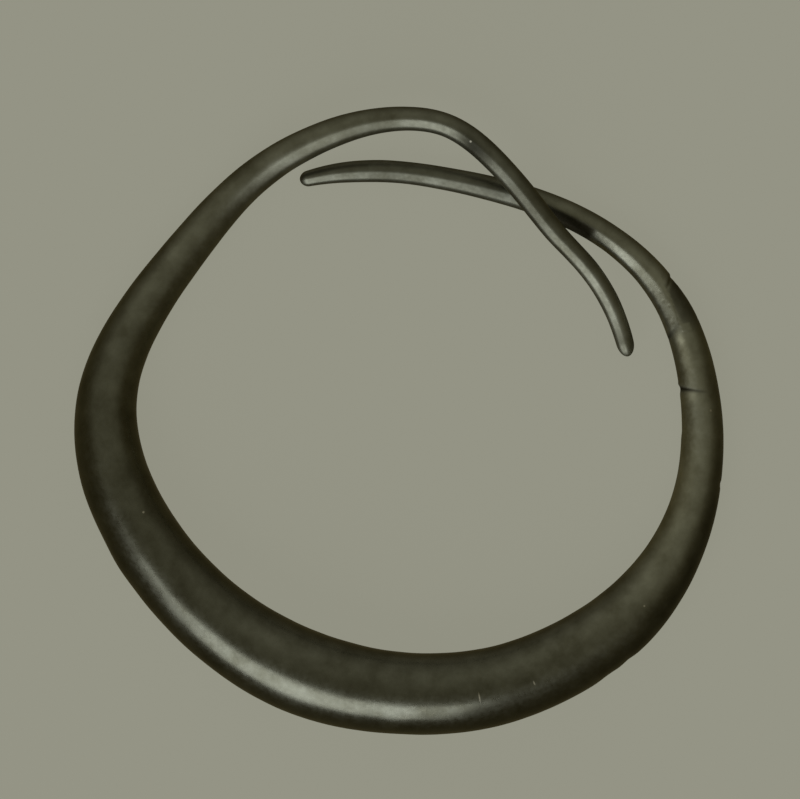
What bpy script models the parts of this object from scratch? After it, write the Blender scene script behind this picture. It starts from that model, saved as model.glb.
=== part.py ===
"""A hoop earring of dark metal, one bar with no joints or added pieces.

The bar is thick at the keel and drawn out into two thin arms that pass each other at the top,
where the hoop went through the ear. The front arm lies over the back arm.
The hoop lies on its side: its underside is on z = 0, and its keel is towards -Y.
All sizes are in metres and all angles are in degrees, anticlockwise from +X."""

import math

import bmesh
import bpy
import numpy as np

# Driving dimensions
HOOP_WIDTH = 0.028
KEEL_THICKNESS = 0.0037
FRONT_WIRE_THICKNESS = 0.00092
BACK_WIRE_THICKNESS = 0.00096
FRONT_TIP_DOME = 0.0006
BACK_TIP_DOME = 0.00035
CROSSING_GAP = 0.0004
REST_FLAT_DEPTH = 0.00005
CRACK_WIDTH = 0.00016
CRACK_DEPTH = 0.00006
SPLIT_WIDTH = 0.00022
SPLIT_DEPTH = 0.00005

# Old breaks that run round the back arm: the angle of each, its width and its depth
BREAKS = (
    (366.3, CRACK_WIDTH, CRACK_DEPTH),
    (388.6, SPLIT_WIDTH, SPLIT_DEPTH),
)

# The run of the bar, from the front arm's tip over the crown, down the left flank, along the keel,
# up the right flank and out to the back arm's tip, chosen by hand. Each row has the angle round the
# hoop, the bar's distance from the middle as a share of half the hoop's width, and the bar's
# fullness, which is 0 where it is plain wire and 1 at the keel.
STATIONS = (
    (15.7, 0.731, -0.07),
    (40, 0.746, -0.01),
    (50, 0.750, 0.00),
    (60, 0.790, 0.02),
    (70, 0.853, 0.03),
    (80, 0.916, 0.03),
    (90, 0.928, 0.05),
    (105, 0.904, 0.13),
    (120, 0.873, 0.20),
    (140, 0.839, 0.32),
    (160, 0.868, 0.45),
    (175, 0.902, 0.59),
    (190, 0.893, 0.73),
    (205, 0.863, 0.81),
    (225, 0.834, 0.90),
    (250, 0.827, 1.00),
    (268, 0.835, 0.95),
    (285, 0.859, 0.91),
    (305, 0.893, 0.82),
    (320, 0.923, 0.71),
    (335, 0.940, 0.50),
    (350, 0.940, 0.34),
    (365, 0.928, 0.27),
    (385, 0.908, 0.16),
    (400, 0.861, 0.08),
    (420, 0.789, 0.06),
    (435, 0.760, 0.02),
    (450, 0.765, 0.00),
    (460, 0.779, -0.01),
    (472.5, 0.800, -0.12),
)
KEEL_ANGLE = 250

# The front arm rises off the ground in two steps, before the crown and just before the crossing,
# and comes down again towards its tip: where each stretch starts and ends, and how much of the
# full height it gains
RISES = (
    (135, 95, 0.75),
    (80, 68, 0.25),
    (54, 16, -0.6),
)

# How finely the surface is divided
SIDES = 26
RING_SPACING = 0.00062
DOME_RINGS = 5
SAMPLE_SPACING = 0.0001

# Finish
METAL_COLOUR = (0.13, 0.13, 0.10, 1)
METAL_ROUGHNESS = 0.32


def smooth_curve(knots, values, places):
    """Reads the natural cubic spline through the knots at the given places."""
    step = np.diff(knots)
    slope = np.diff(values) / step
    matrix = np.eye(len(knots))
    bend = np.zeros(len(knots))
    for i in range(1, len(step)):
        matrix[i, i - 1:i + 2] = step[i - 1], 2 * (step[i - 1] + step[i]), step[i]
        bend[i] = 6 * (slope[i] - slope[i - 1])
    bend = np.linalg.solve(matrix, bend)
    i = np.clip(np.searchsorted(knots, places) - 1, 0, len(step) - 1)
    behind = places - knots[i]
    ahead = knots[i + 1] - places
    curved = (bend[i] * ahead ** 3 + bend[i + 1] * behind ** 3) / (6 * step[i])
    near = (values[i] / step[i] - bend[i] * step[i] / 6) * ahead
    far = (values[i + 1] / step[i] - bend[i + 1] * step[i] / 6) * behind
    return curved + near + far


def bar_at(angles):
    """The bar's middle in plan and its radius, at the given angles round the hoop."""
    knots, reach, fullness = np.array(STATIONS).T
    distance = smooth_curve(knots, reach, angles) * HOOP_WIDTH / 2
    turn = np.radians(angles)
    plan = np.stack([distance * np.cos(turn), distance * np.sin(turn)], axis=1)
    wire = np.where(angles < KEEL_ANGLE, FRONT_WIRE_THICKNESS, BACK_WIRE_THICKNESS)
    thickness = wire + smooth_curve(knots, fullness, angles) * (KEEL_THICKNESS - wire)
    return plan, thickness / 2


def eased(share):
    """Turns a share from 0 to 1 into one that starts and ends gently."""
    return (1 - np.cos(math.pi * np.clip(share, 0, 1))) / 2


def rise_share(angles):
    """How far the front arm has risen: 0 on the ground and 1 at its full height."""
    return sum(gain * eased((start - angles) / (start - end)) for start, end, gain in RISES)


def crossing_lift(angles, plan, radius):
    """The least height at which the front arm clears the back arm by the crossing gap."""
    front = angles < RISES[0][1]
    back = angles > 360 + angles[0]
    apart = np.linalg.norm(plan[front][:, None] - plan[back][None], axis=2)
    front_radius = radius[front][:, None]
    back_radius = radius[back][None]
    clear = front_radius + back_radius + CROSSING_GAP
    above = np.sqrt(np.maximum(clear ** 2 - apart ** 2, 0)) - front_radius + back_radius
    needed = np.where(apart < clear, above, 0) / rise_share(angles[front])[:, None]
    return needed.max()


def run_length(angles):
    """The distance along the bar from the front arm's tip to each of the angles."""
    plan, _ = bar_at(angles)
    steps = np.linalg.norm(np.diff(plan, axis=0), axis=1)
    return np.concatenate([[0], np.cumsum(steps)])


def ring_places(length, breaks):
    """The distances along the bar at which its rings stand, with finer rings at tips and breaks."""
    bend = np.linspace(0, math.pi / 2, DOME_RINGS + 1)[1:]
    front_dome = FRONT_TIP_DOME * (1 - np.cos(bend))
    back_dome = length - BACK_TIP_DOME * (1 - np.cos(bend[::-1]))
    count = max(2, round((back_dome[0] - front_dome[-1]) / RING_SPACING))
    places = np.linspace(front_dome[-1], back_dome[0], count + 1)
    for middle, width in breaks:
        places = places[np.abs(places - middle) > width]
        places = np.append(places, (middle - width / 2, middle, middle + width / 2))
    return np.sort(np.concatenate([front_dome[:-1], places, back_dome[1:]]))


def dome_share(places, length):
    """The share of the bar's full radius that is left inside the rounded tips."""
    front = np.clip(1 - places / FRONT_TIP_DOME, 0, 1)
    back = np.clip(1 - (length - places) / BACK_TIP_DOME, 0, 1)
    return np.sqrt(1 - np.maximum(front, back) ** 2)


def hoop_rings():
    """The rings of points round the bar, and the points at its two tips."""
    first, last = STATIONS[0][0], STATIONS[-1][0]
    samples = np.linspace(first, last, round(math.pi * HOOP_WIDTH / SAMPLE_SPACING))
    run = run_length(samples)
    plan, radius = bar_at(samples)
    lift = crossing_lift(samples, plan, radius)

    breaks = [(np.interp(angle, samples, run), width) for angle, width, _ in BREAKS]
    places = ring_places(run[-1], breaks)
    angles = np.interp(places, run, samples)
    middle, full_radius = bar_at(angles)
    radius = full_radius * dome_share(places, run[-1])
    for (place, _), (_, _, depth) in zip(breaks, BREAKS):
        radius[np.abs(places - place) < SAMPLE_SPACING / 10] -= depth

    heading = np.gradient(middle, places, axis=0)
    heading /= np.linalg.norm(heading, axis=1)[:, None]
    outward = np.stack([heading[:, 1], -heading[:, 0]], axis=1)
    ground = rise_share(angles) * lift
    height = ground + full_radius - REST_FLAT_DEPTH

    flat_edge = np.arccos(np.clip((full_radius - REST_FLAT_DEPTH) / radius, -1, 1))
    flat_edge = np.maximum(flat_edge, math.pi / SIDES)
    share = np.arange(SIDES) / (SIDES - 1)
    turn = flat_edge[:, None] + (2 * math.pi - 2 * flat_edge[:, None]) * share
    sideways = radius[:, None] * np.sin(turn)
    upwards = height[:, None] - radius[:, None] * np.cos(turn)
    across = middle[:, None] + outward[:, None] * sideways[:, :, None]
    rings = np.concatenate([across, upwards[:, :, None]], axis=2)

    ends, end_radius = bar_at(np.array([first, last]))
    end_ground = rise_share(np.array([first, last])) * lift
    tips = np.column_stack([ends, end_ground + end_radius - REST_FLAT_DEPTH])
    return rings, tips


def hoop_mesh(rings, tips):
    """One closed mesh of quads along the bar, with a fan of triangles at each tip."""
    mesh = bmesh.new()
    loops = [[mesh.verts.new(point) for point in ring] for ring in rings]
    for near, far in zip(loops, loops[1:]):
        for k in range(SIDES):
            after = (k + 1) % SIDES
            mesh.faces.new((near[k], near[after], far[after], far[k]))
    for tip, loop in zip(tips, (loops[0], loops[-1])):
        point = mesh.verts.new(tip)
        for k in range(SIDES):
            mesh.faces.new((point, loop[k], loop[(k + 1) % SIDES]))
    bmesh.ops.recalc_face_normals(mesh, faces=mesh.faces)
    return mesh


def dark_metal():
    """Dark metal with a brown skin of age, still smooth."""
    material = bpy.data.materials.new("metal")
    material.use_nodes = True
    shader = material.node_tree.nodes["Principled BSDF"]
    shader.inputs["Base Color"].default_value = METAL_COLOUR
    shader.inputs["Metallic"].default_value = 1
    shader.inputs["Roughness"].default_value = METAL_ROUGHNESS
    return material


def make_hoop():
    """Builds the hoop as one object, with the middle of its width and depth at the origin."""
    rings, tips = hoop_rings()
    mesh = hoop_mesh(rings, tips)
    data = bpy.data.meshes.new("hoop")
    mesh.to_mesh(data)
    mesh.free()
    data.shade_smooth()
    data.materials.append(dark_metal())
    hoop = bpy.data.objects.new("hoop", data)
    bpy.context.scene.collection.objects.link(hoop)
    low = rings.min(axis=(0, 1))
    high = rings.max(axis=(0, 1))
    hoop.location = (-(low[0] + high[0]) / 2, -(low[1] + high[1]) / 2, 0)
    return hoop


for old in list(bpy.data.objects):
    bpy.data.objects.remove(old)
make_hoop()
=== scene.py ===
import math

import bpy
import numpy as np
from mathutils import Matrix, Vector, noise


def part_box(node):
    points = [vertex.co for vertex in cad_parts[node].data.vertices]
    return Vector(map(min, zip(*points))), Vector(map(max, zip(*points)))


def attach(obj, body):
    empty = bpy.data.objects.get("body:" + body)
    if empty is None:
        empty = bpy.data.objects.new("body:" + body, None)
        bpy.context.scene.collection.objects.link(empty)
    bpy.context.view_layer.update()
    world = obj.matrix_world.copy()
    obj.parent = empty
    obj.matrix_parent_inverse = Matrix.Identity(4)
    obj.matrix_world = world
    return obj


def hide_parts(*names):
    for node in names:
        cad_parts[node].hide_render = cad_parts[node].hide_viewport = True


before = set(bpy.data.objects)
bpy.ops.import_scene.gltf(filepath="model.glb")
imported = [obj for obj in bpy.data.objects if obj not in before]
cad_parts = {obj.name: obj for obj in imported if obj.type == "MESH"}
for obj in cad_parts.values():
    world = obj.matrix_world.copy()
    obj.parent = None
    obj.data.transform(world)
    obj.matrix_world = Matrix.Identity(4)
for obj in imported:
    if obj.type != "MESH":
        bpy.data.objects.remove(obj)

# Looks of a hoop earring of dark metal, lying on a plain floor and seen from straight above.
# The hoop is one bar: thick at the keel, towards -Y, and drawn out into two thin arms that pass
# each other at the top. All lengths are in metres and all angles round the hoop are in degrees,
# anticlockwise from +X.

CAD_LOW, CAD_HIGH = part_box("hoop")
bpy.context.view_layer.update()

# The photograph's frame: the hoop's width in it, and the place of the hoop's middle
PHOTO_WIDTH = 800
PHOTO_HEIGHT = 799
HOOP_WIDTH_PIXELS = 650
HOOP_MIDDLE_PIXELS = (399.0, 420.7)

# Driving dimensions of the hoop, as its solid has them
HOOP_WIDTH = 0.028
KEEL_THICKNESS = 0.0037
FRONT_WIRE_THICKNESS = 0.00092
BACK_WIRE_THICKNESS = 0.00096
FRONT_TIP_DOME = 0.0006
BACK_TIP_DOME = 0.00035
CROSSING_GAP = 0.0004
REST_FLAT_DEPTH = 0.00005

# The run of the bar, from the front arm's tip over the crown, down the left flank, along the keel,
# up the right flank and out to the back arm's tip, as the solid has it: angle, distance from the
# middle as a share of half the width, and fullness, which is 0 in plain wire and 1 at the keel
STATIONS = (
    (15.7, 0.731, -0.07),
    (40, 0.746, -0.01),
    (50, 0.750, 0.00),
    (60, 0.790, 0.02),
    (70, 0.853, 0.03),
    (80, 0.916, 0.03),
    (90, 0.928, 0.05),
    (105, 0.904, 0.13),
    (120, 0.873, 0.20),
    (140, 0.839, 0.32),
    (160, 0.868, 0.45),
    (175, 0.902, 0.59),
    (190, 0.893, 0.73),
    (205, 0.863, 0.81),
    (225, 0.834, 0.90),
    (250, 0.827, 1.00),
    (268, 0.835, 0.95),
    (285, 0.859, 0.91),
    (305, 0.893, 0.82),
    (320, 0.923, 0.71),
    (335, 0.940, 0.50),
    (350, 0.940, 0.34),
    (365, 0.928, 0.27),
    (385, 0.908, 0.16),
    (400, 0.861, 0.08),
    (420, 0.789, 0.06),
    (435, 0.760, 0.02),
    (450, 0.765, 0.00),
    (460, 0.779, -0.01),
    (472.5, 0.800, -0.12),
)
KEEL_ANGLE = 250

# The front arm rises off the ground in two steps, before the crown and just before the crossing,
# and comes down again towards its tip: where each stretch starts and ends, and how much of the
# full height it gains
RISES = (
    (135, 95, 0.75),
    (80, 68, 0.25),
    (54, 16, -0.6),
)

# How finely the surface is divided
SIDES = 96
RING_SPACING = 0.000118
FINE_SPACING = 0.000034
DOME_RINGS = 14
SAMPLE_SPACING = 0.00005
LIFT_SAMPLE_STEP = 4
FINE_ZONES = ((364.5, 368.5), (376.0, 390.5))

# Small nicks and swellings in the outline: angle, side (1 outer, -1 inner), height and half length,
# and how fast they fall off from the edge towards the top
DENT_FALL = 2
DENTS = (
    (199.5, 1, -0.00004, 0.0012),
    (206.5, 1, 0.00003, 0.0009),
    (310.5, 1, -0.00005, 0.0005),
    (314.5, 1, -0.00005, 0.0003),
    (348.7, 1, -0.00004, 0.00011),
)

# Unevenness of the hand-worked surface: wavelength and height
WAVES = (
    (0.0034, 0.000016),
    (0.0012, 0.000009),
    (0.0004, 0.0000012),
)

# The thin arms have a flat along their upper inner side: its turn from straight up, half the turn
# that it takes up, how softly its edges run out as a share of the bar's radius, the radii between
# which it fades out, and the least cosine, which keeps its plane finite on the bar's far side
FLAT_SIDE_TURN = 24
FLAT_SIDE_HALF_TURN = 17
FLAT_SIDE_SOFTNESS = 0.03
FLAT_SIDE_RADII = (0.00060, 0.00090)
LEAST_COSINE = 0.2

# The slanting old break of the back arm: its angle at four places across the bar, from the
# inner edge (-1) to the outer edge (1), how far the keel's side of it is worn down there, and how
# much dirt lies in it there
BREAK_ACROSS = (-1, -0.15, 0.25, 1)
BREAK_ANGLES = (377.3, 379.4, 386.3, 387.7)
BREAK_STEPS = (0.000008, 0.000005, 0.000012, 0.00008)
BREAK_DIRT = (0.9, 0.3, 0.2, 0.4)
BREAK_WEAR_LENGTH = 0.0006
BREAK_EDGE_LENGTH = 0.00016
BREAK_GROOVE_DEPTH = 0.000005
BREAK_GROOVE_WIDTH = 0.00014

# The flake that stands up beside the break: it leans by its slant, and fades out where the bar's
# side falls below this share of the radius
FLAKE_ANGLE = 378.2
FLAKE_ACROSS = 0.16
FLAKE_LENGTH = 0.00034
FLAKE_WIDTH = 0.00050
FLAKE_HEIGHT = 0.000007
FLAKE_EDGE = 0.00009
FLAKE_SLANT = 0.25
FLAKE_TOP_FADE = 0.25

# The fine crack below the break, which starts in a notch at the inner edge and slants outwards.
# Its depth, dirt and width of dirt are given at four places across the bar.
CRACK_ANGLE = 366.7
CRACK_SLANT = 16
CRACK_ACROSS = (-1, -0.6, 0.1, 0.5)
CRACK_DEPTHS = (0.00005, 0.000010, 0.000003, 0)
CRACK_DIRT = (1.0, 0.95, 0.5, 0)
CRACK_DIRT_WIDTHS = (0.00018, 0.00010, 0.00008, 0.00008)
CRACK_WIDTH = 0.00008
NOTCH_SHARPNESS = 8
NOTCH_WIDENING = 1.5
NUB_BEYOND_CRACK = 0.00020
NUB_HEIGHT = 0.00003
NUB_LENGTH = 0.00010

# The low shoulder on the inner edge under the crack
SHOULDER_ANGLE = 357.3
SHOULDER_HEIGHT = 0.00003
SHOULDER_STEP = 0.00050
SHOULDER_LENGTH = 0.0030
SHOULDER_FALL = 1.5

# Pits: the stretches where the skin is eaten away, as first angle, last angle and strength, the
# angle over which a stretch fades, the pits' size and depth, and the level of the noise at which
# a pit starts and its rise to the pit's full depth
PITTED_ZONES = ((378.5, 388.0, 1.0), (258.0, 300.0, 0.45), (352.0, 366.0, 0.35))
PITTED_ZONE_FADE = 1
PIT_SIZE = 0.00022
PIT_DEPTH = 0.000006
PIT_STARTS_AT = 0.12
PIT_RISE = 0.4

# The share of the radius over which all relief fades out above the flat underside
UNDERSIDE_FADE = 0.1


def smooth_curve(knots, values, places):
    """Reads the natural cubic spline through the knots at the given places."""
    step = np.diff(knots)
    slope = np.diff(values) / step
    matrix = np.eye(len(knots))
    bend = np.zeros(len(knots))
    for i in range(1, len(step)):
        matrix[i, i - 1:i + 2] = step[i - 1], 2 * (step[i - 1] + step[i]), step[i]
        bend[i] = 6 * (slope[i] - slope[i - 1])
    bend = np.linalg.solve(matrix, bend)
    i = np.clip(np.searchsorted(knots, places) - 1, 0, len(step) - 1)
    behind = places - knots[i]
    ahead = knots[i + 1] - places
    curved = (bend[i] * ahead ** 3 + bend[i + 1] * behind ** 3) / (6 * step[i])
    near = (values[i] / step[i] - bend[i] * step[i] / 6) * ahead
    far = (values[i + 1] / step[i] - bend[i + 1] * step[i] / 6) * behind
    return curved + near + far


def eased(share):
    """Turns a share from 0 to 1 into one that starts and ends gently."""
    return (1 - np.cos(math.pi * np.clip(share, 0, 1))) / 2


def bell(distance, half_length):
    """A smooth hump: 1 in its middle, falling to nothing a few half lengths away."""
    return np.exp(-(distance / half_length) ** 2)


def bar_at(angles):
    """The bar's middle in plan and its radius, at the given angles round the hoop."""
    knots, reach, fullness = np.array(STATIONS).T
    distance = smooth_curve(knots, reach, angles) * HOOP_WIDTH / 2
    turn = np.radians(angles)
    plan = np.stack([distance * np.cos(turn), distance * np.sin(turn)], axis=1)
    wire = np.where(angles < KEEL_ANGLE, FRONT_WIRE_THICKNESS, BACK_WIRE_THICKNESS)
    thickness = wire + smooth_curve(knots, fullness, angles) * (KEEL_THICKNESS - wire)
    return plan, thickness / 2


def rise_share(angles):
    """How far the front arm has risen: 0 on the ground and 1 at its full height."""
    return sum(gain * eased((start - angles) / (start - end)) for start, end, gain in RISES)


def crossing_lift(angles, plan, radius):
    """The least height at which the front arm clears the back arm by the crossing gap."""
    front = angles < RISES[0][1]
    back = angles > 360 + angles[0]
    apart = np.linalg.norm(plan[front][:, None] - plan[back][None], axis=2)
    front_radius = radius[front][:, None]
    back_radius = radius[back][None]
    clear = front_radius + back_radius + CROSSING_GAP
    above = np.sqrt(np.maximum(clear ** 2 - apart ** 2, 0)) - front_radius + back_radius
    needed = np.where(apart < clear, above, 0) / rise_share(angles[front])[:, None]
    return needed.max()


class Run:
    """The way along the bar: angles round the hoop against distances from the front arm's tip."""

    def __init__(self):
        first, last = STATIONS[0][0], STATIONS[-1][0]
        self.samples = np.linspace(first, last, round(math.pi * HOOP_WIDTH / SAMPLE_SPACING))
        plan, radius = bar_at(self.samples)
        steps = np.linalg.norm(np.diff(plan, axis=0), axis=1)
        self.distances = np.concatenate([[0], np.cumsum(steps)])
        self.length = self.distances[-1]
        coarse = slice(None, None, LIFT_SAMPLE_STEP)
        self.lift = crossing_lift(self.samples[coarse], plan[coarse], radius[coarse])

    def at(self, angle):
        """The distance along the bar at an angle round the hoop."""
        return np.interp(angle, self.samples, self.distances)

    def angle(self, place):
        """The angle round the hoop at a distance along the bar."""
        return np.interp(place, self.distances, self.samples)

    def rings(self):
        """Where the rings stand: close together at the tips and in the broken stretches."""
        bend = np.linspace(0, math.pi / 2, DOME_RINGS + 1)[1:]
        places = list(FRONT_TIP_DOME * (1 - np.cos(bend)))
        stop = self.length - BACK_TIP_DOME
        zones = [(self.at(low), self.at(high)) for low, high in FINE_ZONES]
        while places[-1] < stop:
            fine = any(low < places[-1] < high for low, high in zones)
            places.append(places[-1] + (FINE_SPACING if fine else RING_SPACING))
        back_dome = self.length - BACK_TIP_DOME * (1 - np.cos(bend[::-1]))
        return np.concatenate([places[:-1], back_dome])


class Skin:
    """The places of the surface's points: along the bar, and round it as side and top."""

    def __init__(self, run):
        self.run = run
        self.places = run.rings()
        self.angles = run.angle(self.places)
        self.middle, self.full_radius = bar_at(self.angles)
        front = np.clip(1 - self.places / FRONT_TIP_DOME, 0, 1)
        back = np.clip(1 - (run.length - self.places) / BACK_TIP_DOME, 0, 1)
        self.dome = np.sqrt(1 - np.maximum(front, back) ** 2)
        self.radius = self.full_radius * self.dome
        flat = np.clip((self.full_radius - REST_FLAT_DEPTH) / self.radius, -1, 1)
        flat_edge = np.maximum(np.arccos(flat), math.pi / SIDES)
        share = np.arange(SIDES) / (SIDES - 1)
        turn = flat_edge[:, None] + (2 * math.pi - 2 * flat_edge[:, None]) * share
        self.side = np.sin(turn)
        self.top = -np.cos(turn)
        self.along = np.broadcast_to(self.places[:, None], self.side.shape)
        self.across = self.side * self.full_radius[:, None]

    def grain(self):
        """The points in the straightened bar's own space: along, across and up."""
        up = self.top * self.full_radius[:, None]
        return np.stack([self.along, self.across, up], axis=2).reshape(-1, 3)

    def cloud(self, size):
        """Smooth noise over the surface, from about -1 to 1, with the given size of its humps."""
        values = [noise.noise(Vector(point)) for point in self.grain() / size]
        return np.array(values).reshape(self.side.shape)

    def break_distance(self):
        """How far each point lies on the keel's side of the slanting break."""
        angles = np.interp(self.side, BREAK_ACROSS, BREAK_ANGLES)
        return self.run.at(angles) - self.along

    def crack_distance(self):
        """How far each point lies beyond the fine crack."""
        slant = math.tan(math.radians(CRACK_SLANT))
        line = self.run.at(CRACK_ANGLE) - (self.side + 1) * self.full_radius[:, None] * slant
        return self.along - line


def dents(skin):
    """The nicks in the outline and the low shoulder under the crack."""
    total = np.zeros(skin.side.shape)
    for angle, facing, height, half_length in DENTS:
        near = bell(skin.along - skin.run.at(angle), half_length)
        total += height * near * np.clip(skin.side * facing, 0, 1) ** DENT_FALL
    shoulder = skin.run.at(SHOULDER_ANGLE) - skin.along
    step = eased(shoulder / SHOULDER_STEP + 0.5)
    fade = np.exp(-np.maximum(shoulder, 0) / SHOULDER_LENGTH)
    return total + SHOULDER_HEIGHT * step * fade * np.clip(-skin.side, 0, 1) ** SHOULDER_FALL


def flat_side(skin):
    """The shallow flat along the upper inner side of the thin arms."""
    turn = np.arctan2(-skin.side, skin.top) - math.radians(FLAT_SIDE_TURN)
    cut = 1 - math.cos(math.radians(FLAT_SIDE_HALF_TURN)) / np.maximum(np.cos(turn), LEAST_COSINE)
    cut = (cut + np.hypot(cut, FLAT_SIDE_SOFTNESS)) / 2
    thin, thick = FLAT_SIDE_RADII
    share = eased((thick - skin.full_radius) / (thick - thin)) * skin.full_radius
    return -cut * share[:, None]


def flake_share(skin):
    """How far each point belongs to the flake beside the break: 1 on it and 0 off it."""
    along = np.abs(skin.along - skin.run.at(FLAKE_ANGLE) + FLAKE_SLANT * skin.across)
    across = np.abs(skin.across - FLAKE_ACROSS * skin.full_radius[:, None])
    inside = eased((FLAKE_LENGTH / 2 - along) / FLAKE_EDGE + 0.5)
    inside *= eased((FLAKE_WIDTH / 2 - across) / FLAKE_EDGE + 0.5)
    return inside * np.clip(skin.top / FLAKE_TOP_FADE, 0, 1)


def slanting_break(skin):
    """The worn step and groove of the slanting break, with the flake that stands up beside it."""
    below = skin.break_distance()
    worn = np.interp(skin.side, BREAK_ACROSS, BREAK_STEPS)
    step = eased(below / BREAK_EDGE_LENGTH + 0.5) * np.exp(-np.maximum(below, 0) / BREAK_WEAR_LENGTH)
    groove = BREAK_GROOVE_DEPTH * bell(below, BREAK_GROOVE_WIDTH)
    flake = flake_share(skin)
    return FLAKE_HEIGHT * flake - (worn * step + groove) * (1 - flake)


def fine_crack(skin):
    """The fine crack, its notch at the inner edge and the nub beyond the notch."""
    beyond = skin.crack_distance()
    depth = np.interp(skin.side, CRACK_ACROSS, CRACK_DEPTHS)
    inner = np.clip(-skin.side, 0, 1) ** NOTCH_SHARPNESS
    nub = NUB_HEIGHT * bell(beyond - NUB_BEYOND_CRACK, NUB_LENGTH) * inner
    return nub - depth * bell(beyond, CRACK_WIDTH * (1 + NOTCH_WIDENING * inner))


def pits(skin):
    """Small pits where the skin of age is eaten away."""
    share = np.zeros(len(skin.places))
    for first, last, strength in PITTED_ZONES:
        inside = (last - first) / 2 - np.abs(skin.angles - (first + last) / 2)
        near = eased(inside / PITTED_ZONE_FADE + 1)
        share = np.maximum(share, strength * near)
    holes = np.clip((skin.cloud(PIT_SIZE) - PIT_STARTS_AT) / PIT_RISE, 0, 1)
    return -PIT_DEPTH * holes * share[:, None]


def waves(skin):
    """Slow unevenness from layers of noise."""
    return sum(height * skin.cloud(wavelength) for wavelength, height in WAVES)


def hoop_points(skin):
    """The points of the fine surface in rings, and the points at the two tips."""
    shapes = (dents, flat_side, slanting_break, fine_crack, pits, waves)
    relief = sum(shape(skin) for shape in shapes)
    above_flat = np.clip((skin.top + 1) / UNDERSIDE_FADE, 0, 1)
    distance = skin.radius[:, None] + relief * above_flat * skin.dome[:, None]
    heading = np.gradient(skin.middle, skin.places, axis=0)
    heading /= np.linalg.norm(heading, axis=1)[:, None]
    outward = np.stack([heading[:, 1], -heading[:, 0]], axis=1)
    height = rise_share(skin.angles) * skin.run.lift + skin.full_radius - REST_FLAT_DEPTH
    plan = skin.middle[:, None] + outward[:, None] * (distance * skin.side)[:, :, None]
    up = height[:, None] + distance * skin.top
    points = np.concatenate([plan, up[:, :, None]], axis=2).reshape(-1, 3)

    ends = skin.run.samples[[0, -1]]
    end_plan, end_radius = bar_at(ends)
    end_height = rise_share(ends) * skin.run.lift + end_radius - REST_FLAT_DEPTH
    return np.concatenate([points, np.column_stack([end_plan, end_height])])


def fitted(points, low, high):
    """Moves and scales points so that they fill the box of the CAD solid and no more."""
    least = points.min(axis=0)
    most = points.max(axis=0)
    return low + (points - least) * (high - low) / (most - least)


def ring_faces(rings):
    """The faces between neighbouring rings, and the fans at the two tips."""
    faces = []
    for i in range(rings - 1):
        for k in range(SIDES):
            after = (k + 1) % SIDES
            near, far = i * SIDES, (i + 1) * SIDES
            faces.append((near + k, near + after, far + after, far + k))
    front, back = rings * SIDES, rings * SIDES + 1
    last = (rings - 1) * SIDES
    for k in range(SIDES):
        after = (k + 1) % SIDES
        faces.append((front, after, k))
        faces.append((back, last + k, last + after))
    return faces


# The skin of age is dark and smooth on the left flank, a little lighter on the keel, and lighter
# and duller on the right flank and the arms: angle, tone and roughness. The duller skin is wear;
# the lighter tone is partly wear and partly painted light, which brightens the reflections on the
# right flank and the arms.
WEAR_AND_PAINTED_LIGHT = (
    (16, 1.5, 0.52),
    (40, 1.4, 0.48),
    (60, 1.1, 0.46),
    (110, 1.5, 0.43),
    (150, 1.4, 0.36),
    (180, 1.1, 0.30),
    (245, 0.93, 0.29),
    (300, 1.1, 0.31),
    (325, 1.5, 0.37),
    (355, 2.0, 0.42),
    (400, 1.5, 0.42),
    (440, 1.1, 0.50),
    (472.5, 1.2, 0.45),
)

# Painted highlights and painted shade: patches that brighten the bar's reflections where the
# window's highlight runs, or dull them where it is lost or where shade falls: angle, place across
# the bar, half length, half width as a share of the radius, and change in tone. They fade out over
# this share of the radius on the bar's lower side.
PATCH_FADE = 0.6
PAINTED_LIGHT_PATCHES = (
    # Painted shade: dulls the front arm's highlight where the arm climbs
    (74.5, -0.40, 0.00065, 0.60, -0.55),
    # Painted highlights below the flake and below the crack
    (376.2, -0.38, 0.00025, 0.22, 0.6),
    (373.0, -0.40, 0.00090, 0.30, 0.7),
    (365.0, -0.42, 0.00028, 0.28, 0.5),
    # Painted light on the right flank's inner side
    (350, -0.75, 0.0040, 0.45, 0.5),
    # Painted shade on the right flank's outer side
    (335, 0.82, 0.0080, 0.42, -0.6),
    # Painted highlights on the crown and above the old break
    (97, -0.35, 0.0026, 0.35, 0.40),
    (387, -0.25, 0.0016, 0.45, 0.25),
    (399, -0.60, 0.0010, 0.30, 0.3),
    # Painted shade on the back arm beside the crossing
    (424, -0.25, 0.0015, 0.50, -0.40),
)

# The dark growth on the outer side of the bar, on the keel's side of the break: the length over
# which it comes in at the break, the angle at which it ends, the length over which it fades there,
# its edge across the bar and how soft that is, its strength, and the share that the flake is free of
GROWTH_START = 0.0003
GROWTH_END = 375.5
GROWTH_FADE = 0.0012
GROWTH_EDGE = -0.15
GROWTH_SOFTNESS = 0.35
GROWTH_STRENGTH = 0.55
FLAKE_CLEANNESS = 0.7

# Painted shade and a painted reflection of the front arm in the crook of the crossing, on the
# inner half of the back arm: where it starts and ends, the length over which it fades, how far
# across the bar it reaches and how soft its edge is there, and its strength
CROOK_STARTS_AT = 403.2
CROOK_ENDS_AT = 417
CROOK_FADE = 0.0004
CROOK_EDGE = -0.02
CROOK_SOFTNESS = 0.4
CROOK_STRENGTH = 0.9

# How fast dirt, growths and the painted shade in the crook come in from the bar's sides towards its top
DIRT_AND_SHADE_RISE = 3


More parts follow.
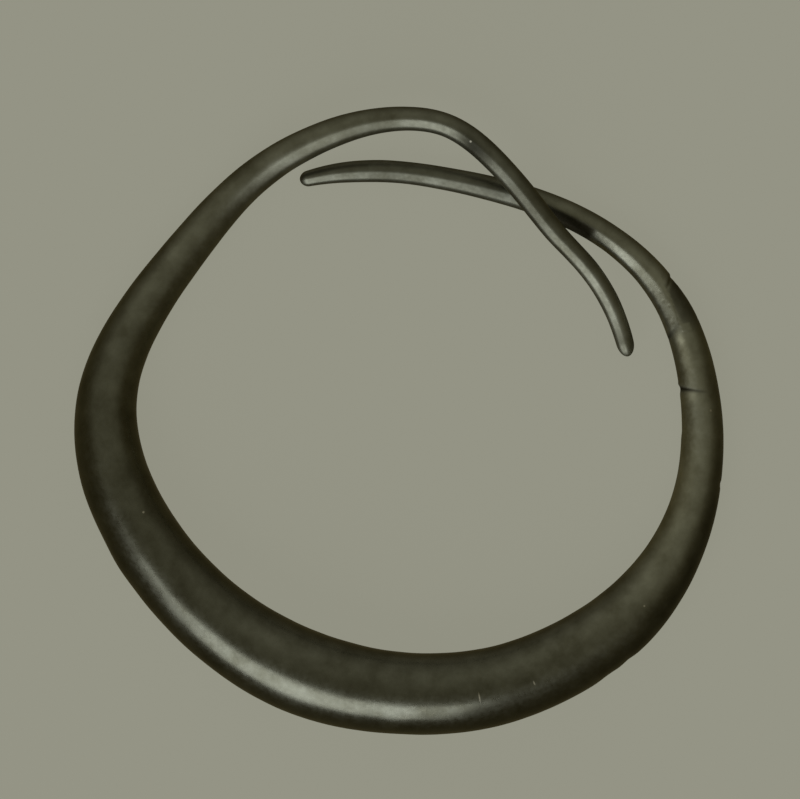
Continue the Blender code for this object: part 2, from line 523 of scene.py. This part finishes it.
def tone(skin):
    """How light the skin of age is at each point, as a share of its usual lightness, with painted
    highlights and painted shade in it.
    """
    angles, tones, _ = np.array(WEAR_AND_PAINTED_LIGHT).T
    level = np.repeat(smooth_curve(angles, tones, skin.angles)[:, None], SIDES, axis=1)
    # Each patch is a painted highlight or painted shade.
    for angle, across, half_length, half_width, change in PAINTED_LIGHT_PATCHES:
        along = bell(skin.along - skin.run.at(angle), half_length)
        sideways = bell(skin.side - across, half_width)
        level *= 1 + change * along * sideways * eased(1 + skin.top / PATCH_FADE)
    return level


def roughness(skin):
    """How rough the skin of age is along the bar."""
    angles, _, levels = np.array(WEAR_AND_PAINTED_LIGHT).T
    return np.repeat(smooth_curve(angles, levels, skin.angles)[:, None], SIDES, axis=1)


def grime_and_painted_shade(skin):
    """Where dirt and dark growths fill the breaks, and the painted shade in the crook of the crossing:
    0 for clean metal, 1 for full.
    """
    below = skin.break_distance()
    line = np.interp(skin.side, BREAK_ACROSS, BREAK_DIRT) * bell(below, BREAK_GROOVE_WIDTH)
    outer = eased((skin.side - GROWTH_EDGE) / GROWTH_SOFTNESS)
    outer *= np.clip(skin.top * DIRT_AND_SHADE_RISE, 0, 1)
    ending = eased((skin.along - skin.run.at(GROWTH_END)) / GROWTH_FADE)
    growth = GROWTH_STRENGTH * outer * eased(below / GROWTH_START) * ending
    growth *= 1 - FLAKE_CLEANNESS * flake_share(skin)
    strength = np.interp(skin.side, CRACK_ACROSS, CRACK_DIRT)
    width = np.interp(skin.side, CRACK_ACROSS, CRACK_DIRT_WIDTHS)
    crack = strength * bell(skin.crack_distance(), width)
    # The crook's share is painted shade, not dirt.
    crook = CROOK_STRENGTH * eased((skin.along - skin.run.at(CROOK_STARTS_AT)) / CROOK_FADE)
    crook *= eased((skin.run.at(CROOK_ENDS_AT) - skin.along) / CROOK_FADE)
    crook *= eased((CROOK_EDGE - skin.side) / CROOK_SOFTNESS + 0.5)
    crook *= np.clip(skin.top * DIRT_AND_SHADE_RISE + 1, 0, 1)
    return np.max([line, crack, growth, crook], axis=0)


def write_attribute(data, name, values):
    """Stores one number a point, with the same kind of number at the two tips."""
    layer = data.attributes.new(name, "FLOAT", "POINT")
    layer.data.foreach_set("value", np.append(values.ravel(), (values[0, 0], values[-1, 0])))


def make_hoop(run, material):
    """Builds the fine hoop in the place of its CAD solid."""
    skin = Skin(run)
    points = fitted(hoop_points(skin), np.array(CAD_LOW), np.array(CAD_HIGH))
    data = bpy.data.meshes.new("earring_hoop")
    data.from_pydata(points, [], ring_faces(len(skin.places)))
    data.shade_smooth()
    data.materials.append(material)

    grain = np.concatenate([skin.grain(), [[0, 0, 0], [skin.run.length, 0, 0]]])
    layer = data.attributes.new("grain", "FLOAT_VECTOR", "POINT")
    layer.data.foreach_set("vector", grain.ravel())
    # The grime share also holds the painted shade in the crook of the crossing.
    write_attribute(data, "grime_and_painted_shade", grime_and_painted_shade(skin))
    # The tone also holds painted highlights and painted shade.
    write_attribute(data, "tone", tone(skin))
    write_attribute(data, "rough", roughness(skin))

    hoop = bpy.data.objects.new("earring_hoop", data)
    bpy.context.scene.collection.objects.link(hoop)
    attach(hoop, "root")
    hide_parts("hoop")
    return hoop


def new_material(name):
    """An empty node material with its shader and a function that adds nodes to it."""
    material = bpy.data.materials.new(name)
    material.use_nodes = True
    tree = material.node_tree
    shader = tree.nodes["Principled BSDF"]

    def add(kind, inputs=(), **settings):
        node = tree.nodes.new(kind)
        for key, value in settings.items():
            setattr(node, key, value)
        for key, value in dict(inputs).items():
            if isinstance(value, bpy.types.NodeSocket):
                tree.links.new(value, node.inputs[key])
            else:
                node.inputs[key].default_value = value
        return node

    return material, tree, shader, add


# Specks and short scratches of bare metal: angle, place across the bar from the inner edge (-1)
# to the outer edge (1), half length along the bar, and half width across it. A speck starts and
# is full at these shares of its half sizes.
SPECK_EDGE = {"From Min": 1.3, "From Max": 0.5}
SPECKS = (
    (361.8, 0.44, 0.00005, 0.00005),
    (286.3, 0.18, 0.00003, 0.00020),
    (297.4, 0.22, 0.00003, 0.00010),
    (323, 0.15, 0.00004, 0.00004),
    (200, -0.35, 0.00005, 0.00005),
    (75.5, -0.20, 0.00005, 0.00005),
)

# Colours, each as red, green, blue and alpha
METAL_DARK = (0.098, 0.098, 0.072, 1)
METAL_LIGHT = (0.168, 0.173, 0.140, 1)
# The colour of the dirt and growths, and also of the painted shade in the crook of the crossing
GRIME_AND_SHADE_COLOUR = (0.030, 0.026, 0.014, 1)
BARE_COLOUR = (0.50, 0.49, 0.42, 1)

# The skin's noises, in humps to the metre, and the range in which their levels are read. Scratches
# are the last noise, drawn out along the bar.
MOTTLE = {"Scale": 900.0, "Detail": 5.0, "Roughness": 0.6}
FLECKS = {"Scale": 5200.0, "Detail": 3.0}
SCRATCHES = {"Scale": 9000.0, "Detail": 2.0}
SCRATCH_STRETCH = (0.08, 1.0, 1.0)
NOISE_RANGE = {"From Min": 0.3, "From Max": 0.7}

# How far the flecks, and the dirt and the painted shade in the crook, change the roughness, the
# share of the scratches in the bump, and the bump's strength and depth
FLECK_ROUGHNESS = 0.04
GRIME_AND_SHADE_ROUGHNESS = 0.25
SCRATCH_SHARE = 0.6
BUMP_STRENGTH = 0.3
BUMP_DEPTH = 0.000004


def bare_specks(add, grain, run):
    """How bare the metal is: 1 inside a speck or a scratch and 0 elsewhere."""
    total = 0.0
    for angle, across, half_length, half_width in SPECKS:
        radius = bar_at(np.array([angle]))[1][0]
        spot = (run.at(angle), across * radius, math.sqrt(1 - across ** 2) * radius)
        size = (1 / half_length, 1 / half_width, 1 / half_width)
        away = add("ShaderNodeVectorMath", {0: grain, 1: spot}, operation="SUBTRACT").outputs["Vector"]
        scaled = add("ShaderNodeVectorMath", {0: away, 1: size}, operation="MULTIPLY").outputs["Vector"]
        far = add("ShaderNodeVectorMath", {0: scaled}, operation="LENGTH").outputs["Value"]
        near = add("ShaderNodeMapRange", {"Value": far, **SPECK_EDGE}).outputs["Result"]
        total = add("ShaderNodeMath", {0: total, 1: near}, operation="MAXIMUM").outputs["Value"]
    return total


def dark_metal(run):
    """Dark metal with a brown skin of age: uneven in tone, finely scratched along the bar."""
    material, tree, shader, add = new_material("dark_metal")
    grain = add("ShaderNodeAttribute", attribute_name="grain").outputs["Vector"]
    # The tone holds the skin's wear together with painted highlights and painted shade.
    tone = add("ShaderNodeAttribute", attribute_name="tone").outputs["Fac"]
    level = add("ShaderNodeAttribute", attribute_name="rough").outputs["Fac"]
    # This share is the dirt and growths, and the painted shade in the crook of the crossing.
    dirt_and_shade_share = add("ShaderNodeAttribute", attribute_name="grime_and_painted_shade").outputs["Fac"]
    patches = add("ShaderNodeTexNoise", {"Vector": grain, **MOTTLE}).outputs["Fac"]
    flecks = add("ShaderNodeTexNoise", {"Vector": grain, **FLECKS}).outputs["Fac"]
    stretched = add("ShaderNodeMapping", {"Vector": grain, "Scale": SCRATCH_STRETCH}).outputs["Vector"]
    scratches = add("ShaderNodeTexNoise", {"Vector": stretched, **SCRATCHES}).outputs["Fac"]

    mottle = add("ShaderNodeMapRange", {"Value": patches, **NOISE_RANGE}).outputs["Result"]
    skin = add("ShaderNodeMix", {"Factor": mottle}, data_type="RGBA")
    skin.inputs["A"].default_value = METAL_DARK
    skin.inputs["B"].default_value = METAL_LIGHT
    toned = add("ShaderNodeVectorMath", {0: skin.outputs["Result"], "Scale": tone}, operation="SCALE")
    dirt_and_shade_mix = add("ShaderNodeMix", {"Factor": dirt_and_shade_share, "A": toned.outputs["Vector"]}, data_type="RGBA")
    dirt_and_shade_mix.inputs["B"].default_value = GRIME_AND_SHADE_COLOUR
    bared = add("ShaderNodeMix", {"Factor": bare_specks(add, grain, run)}, data_type="RGBA")
    tree.links.new(dirt_and_shade_mix.outputs["Result"], bared.inputs["A"])
    bared.inputs["B"].default_value = BARE_COLOUR
    tree.links.new(bared.outputs["Result"], shader.inputs["Base Color"])

    change = {"To Min": -FLECK_ROUGHNESS, "To Max": FLECK_ROUGHNESS}
    uneven = add("ShaderNodeMapRange", {"Value": flecks, **NOISE_RANGE, **change}).outputs["Result"]
    rough = add("ShaderNodeMath", {0: level, 1: uneven}, operation="ADD").outputs["Value"]
    dirt_and_shade_roughening = {0: dirt_and_shade_share, 1: GRIME_AND_SHADE_ROUGHNESS, 2: rough}
    rougher = add("ShaderNodeMath", dirt_and_shade_roughening, operation="MULTIPLY_ADD").outputs["Value"]
    tree.links.new(rougher, shader.inputs["Roughness"])

    both = {0: scratches, 1: SCRATCH_SHARE, 2: flecks}
    fine = add("ShaderNodeMath", both, operation="MULTIPLY_ADD").outputs["Value"]
    relief = {"Height": fine, "Strength": BUMP_STRENGTH, "Distance": BUMP_DEPTH}
    bump = add("ShaderNodeBump", relief)
    tree.links.new(bump.outputs["Normal"], shader.inputs["Normal"])
    shader.inputs["Metallic"].default_value = 1.0
    return material


# The studio: the floor, the camera, and the window, which is a soft lamp with its azimuth and
# elevation as seen from the hoop
FLOOR_SIZE = 0.9
FLOOR_COLOUR = (0.04, 0.04, 0.035, 1)
FLOOR_GLOW = (0.278, 0.277, 0.220, 1)
CAMERA_HEIGHT = 0.8
CAMERA_SEES_FROM = 0.01
CAMERA_SEES_TO = 5
SENSOR_WIDTH = 0.036
WINDOW_AZIMUTH = 247
WINDOW_ELEVATION = 36
WINDOW_DISTANCE = 1.0
WINDOW_WIDTH = 0.92
WINDOW_HEIGHT = 0.78
WINDOW_RADIANCE = 2.6
WINDOW_COLOUR = (0.98, 1.0, 1.02)


def make_floor():
    """A plain pale floor that glows a little, like a light table, so shadows on it stay faint."""
    bpy.ops.mesh.primitive_plane_add(size=FLOOR_SIZE, location=(0, 0, 0))
    floor = bpy.context.object
    floor.name = "floor"
    material, tree, shader, add = new_material("floor")
    shader.inputs["Base Color"].default_value = FLOOR_COLOUR
    shader.inputs["Roughness"].default_value = 1.0
    shader.inputs["Specular IOR Level"].default_value = 0.0
    shader.inputs["Emission Color"].default_value = FLOOR_GLOW
    shader.inputs["Emission Strength"].default_value = 1.0
    floor.data.materials.append(material)
    floor.visible_glossy = False


def direction(azimuth, elevation):
    """A unit vector from an azimuth and an elevation in degrees."""
    turn, lean = math.radians(azimuth), math.radians(elevation)
    return Vector((math.cos(lean) * math.cos(turn), math.cos(lean) * math.sin(turn), math.sin(lean)))


def make_window():
    """A flat soft lamp that faces the hoop."""
    lamp = bpy.data.lights.new("window", "AREA")
    lamp.shape = "RECTANGLE"
    lamp.size = WINDOW_WIDTH
    lamp.size_y = WINDOW_HEIGHT
    lamp.energy = WINDOW_RADIANCE * math.pi * WINDOW_WIDTH * WINDOW_HEIGHT
    lamp.color = WINDOW_COLOUR
    window = bpy.data.objects.new("window", lamp)
    place = direction(WINDOW_AZIMUTH, WINDOW_ELEVATION)
    window.location = place * WINDOW_DISTANCE
    window.rotation_mode = "QUATERNION"
    window.rotation_quaternion = place.to_track_quat("Z", "Y")
    window.visible_camera = False
    bpy.context.scene.collection.objects.link(window)


# Soft glows of the room: azimuth, elevation, angle of its edge, softness of the edge, and colour
GLOWS = (
    (95, 25, 45, 30, (0.19, 0.19, 0.17)),
    (100, 75, 50, 15, (0.11, 0.11, 0.09)),
)
ROOM_COLOUR = (0.09, 0.075, 0.035)


def make_surroundings():
    """A dim brown room with two soft glows."""
    world = bpy.data.worlds.new("room")
    bpy.context.scene.world = world
    world.use_nodes = True
    tree = world.node_tree
    place = tree.nodes.new("ShaderNodeTexCoord").outputs["Generated"]
    total = None
    for azimuth, elevation, edge, softness, colour in GLOWS:
        towards = tree.nodes.new("ShaderNodeVectorMath")
        towards.operation = "DOT_PRODUCT"
        towards.inputs[1].default_value = direction(azimuth, elevation)
        tree.links.new(place, towards.inputs[0])
        angle = tree.nodes.new("ShaderNodeMath")
        angle.operation = "ARCCOSINE"
        tree.links.new(towards.outputs["Value"], angle.inputs[0])
        fade = tree.nodes.new("ShaderNodeMapRange")
        fade.interpolation_type = "SMOOTHSTEP"
        fade.inputs["From Min"].default_value = math.radians(edge + softness)
        fade.inputs["From Max"].default_value = math.radians(edge - softness)
        tree.links.new(angle.outputs["Value"], fade.inputs["Value"])
        glow = tree.nodes.new("ShaderNodeVectorMath")
        glow.operation = "MULTIPLY_ADD"
        glow.inputs[1].default_value = colour
        tree.links.new(fade.outputs["Result"], glow.inputs[0])
        if total is None:
            glow.inputs[2].default_value = ROOM_COLOUR
        else:
            tree.links.new(total, glow.inputs[2])
        total = glow.outputs["Vector"]
    tree.links.new(total, tree.nodes["Background"].inputs["Color"])


def make_camera():
    """Straight above the hoop, framed as the photograph is."""
    scale = (CAD_HIGH.x - CAD_LOW.x) / HOOP_WIDTH_PIXELS
    view_width = PHOTO_WIDTH * scale
    data = bpy.data.cameras.new("camera")
    data.sensor_width = SENSOR_WIDTH * 1000
    data.lens = data.sensor_width * CAMERA_HEIGHT / view_width
    camera = bpy.data.objects.new("camera", data)
    middle = (CAD_LOW + CAD_HIGH) / 2
    right = (PHOTO_WIDTH / 2 - HOOP_MIDDLE_PIXELS[0]) * scale
    up = (HOOP_MIDDLE_PIXELS[1] - PHOTO_HEIGHT / 2) * scale
    camera.location = (middle.x + right, middle.y + up, CAMERA_HEIGHT + middle.z)
    data.clip_start = CAMERA_SEES_FROM
    data.clip_end = CAMERA_SEES_TO
    bpy.context.scene.collection.objects.link(camera)
    bpy.context.scene.camera = camera


make_camera()
bar_run = Run()
make_hoop(bar_run, dark_metal(bar_run))
make_floor()
make_window()
make_surroundings()
bpy.context.scene.view_settings.view_transform = "Standard"
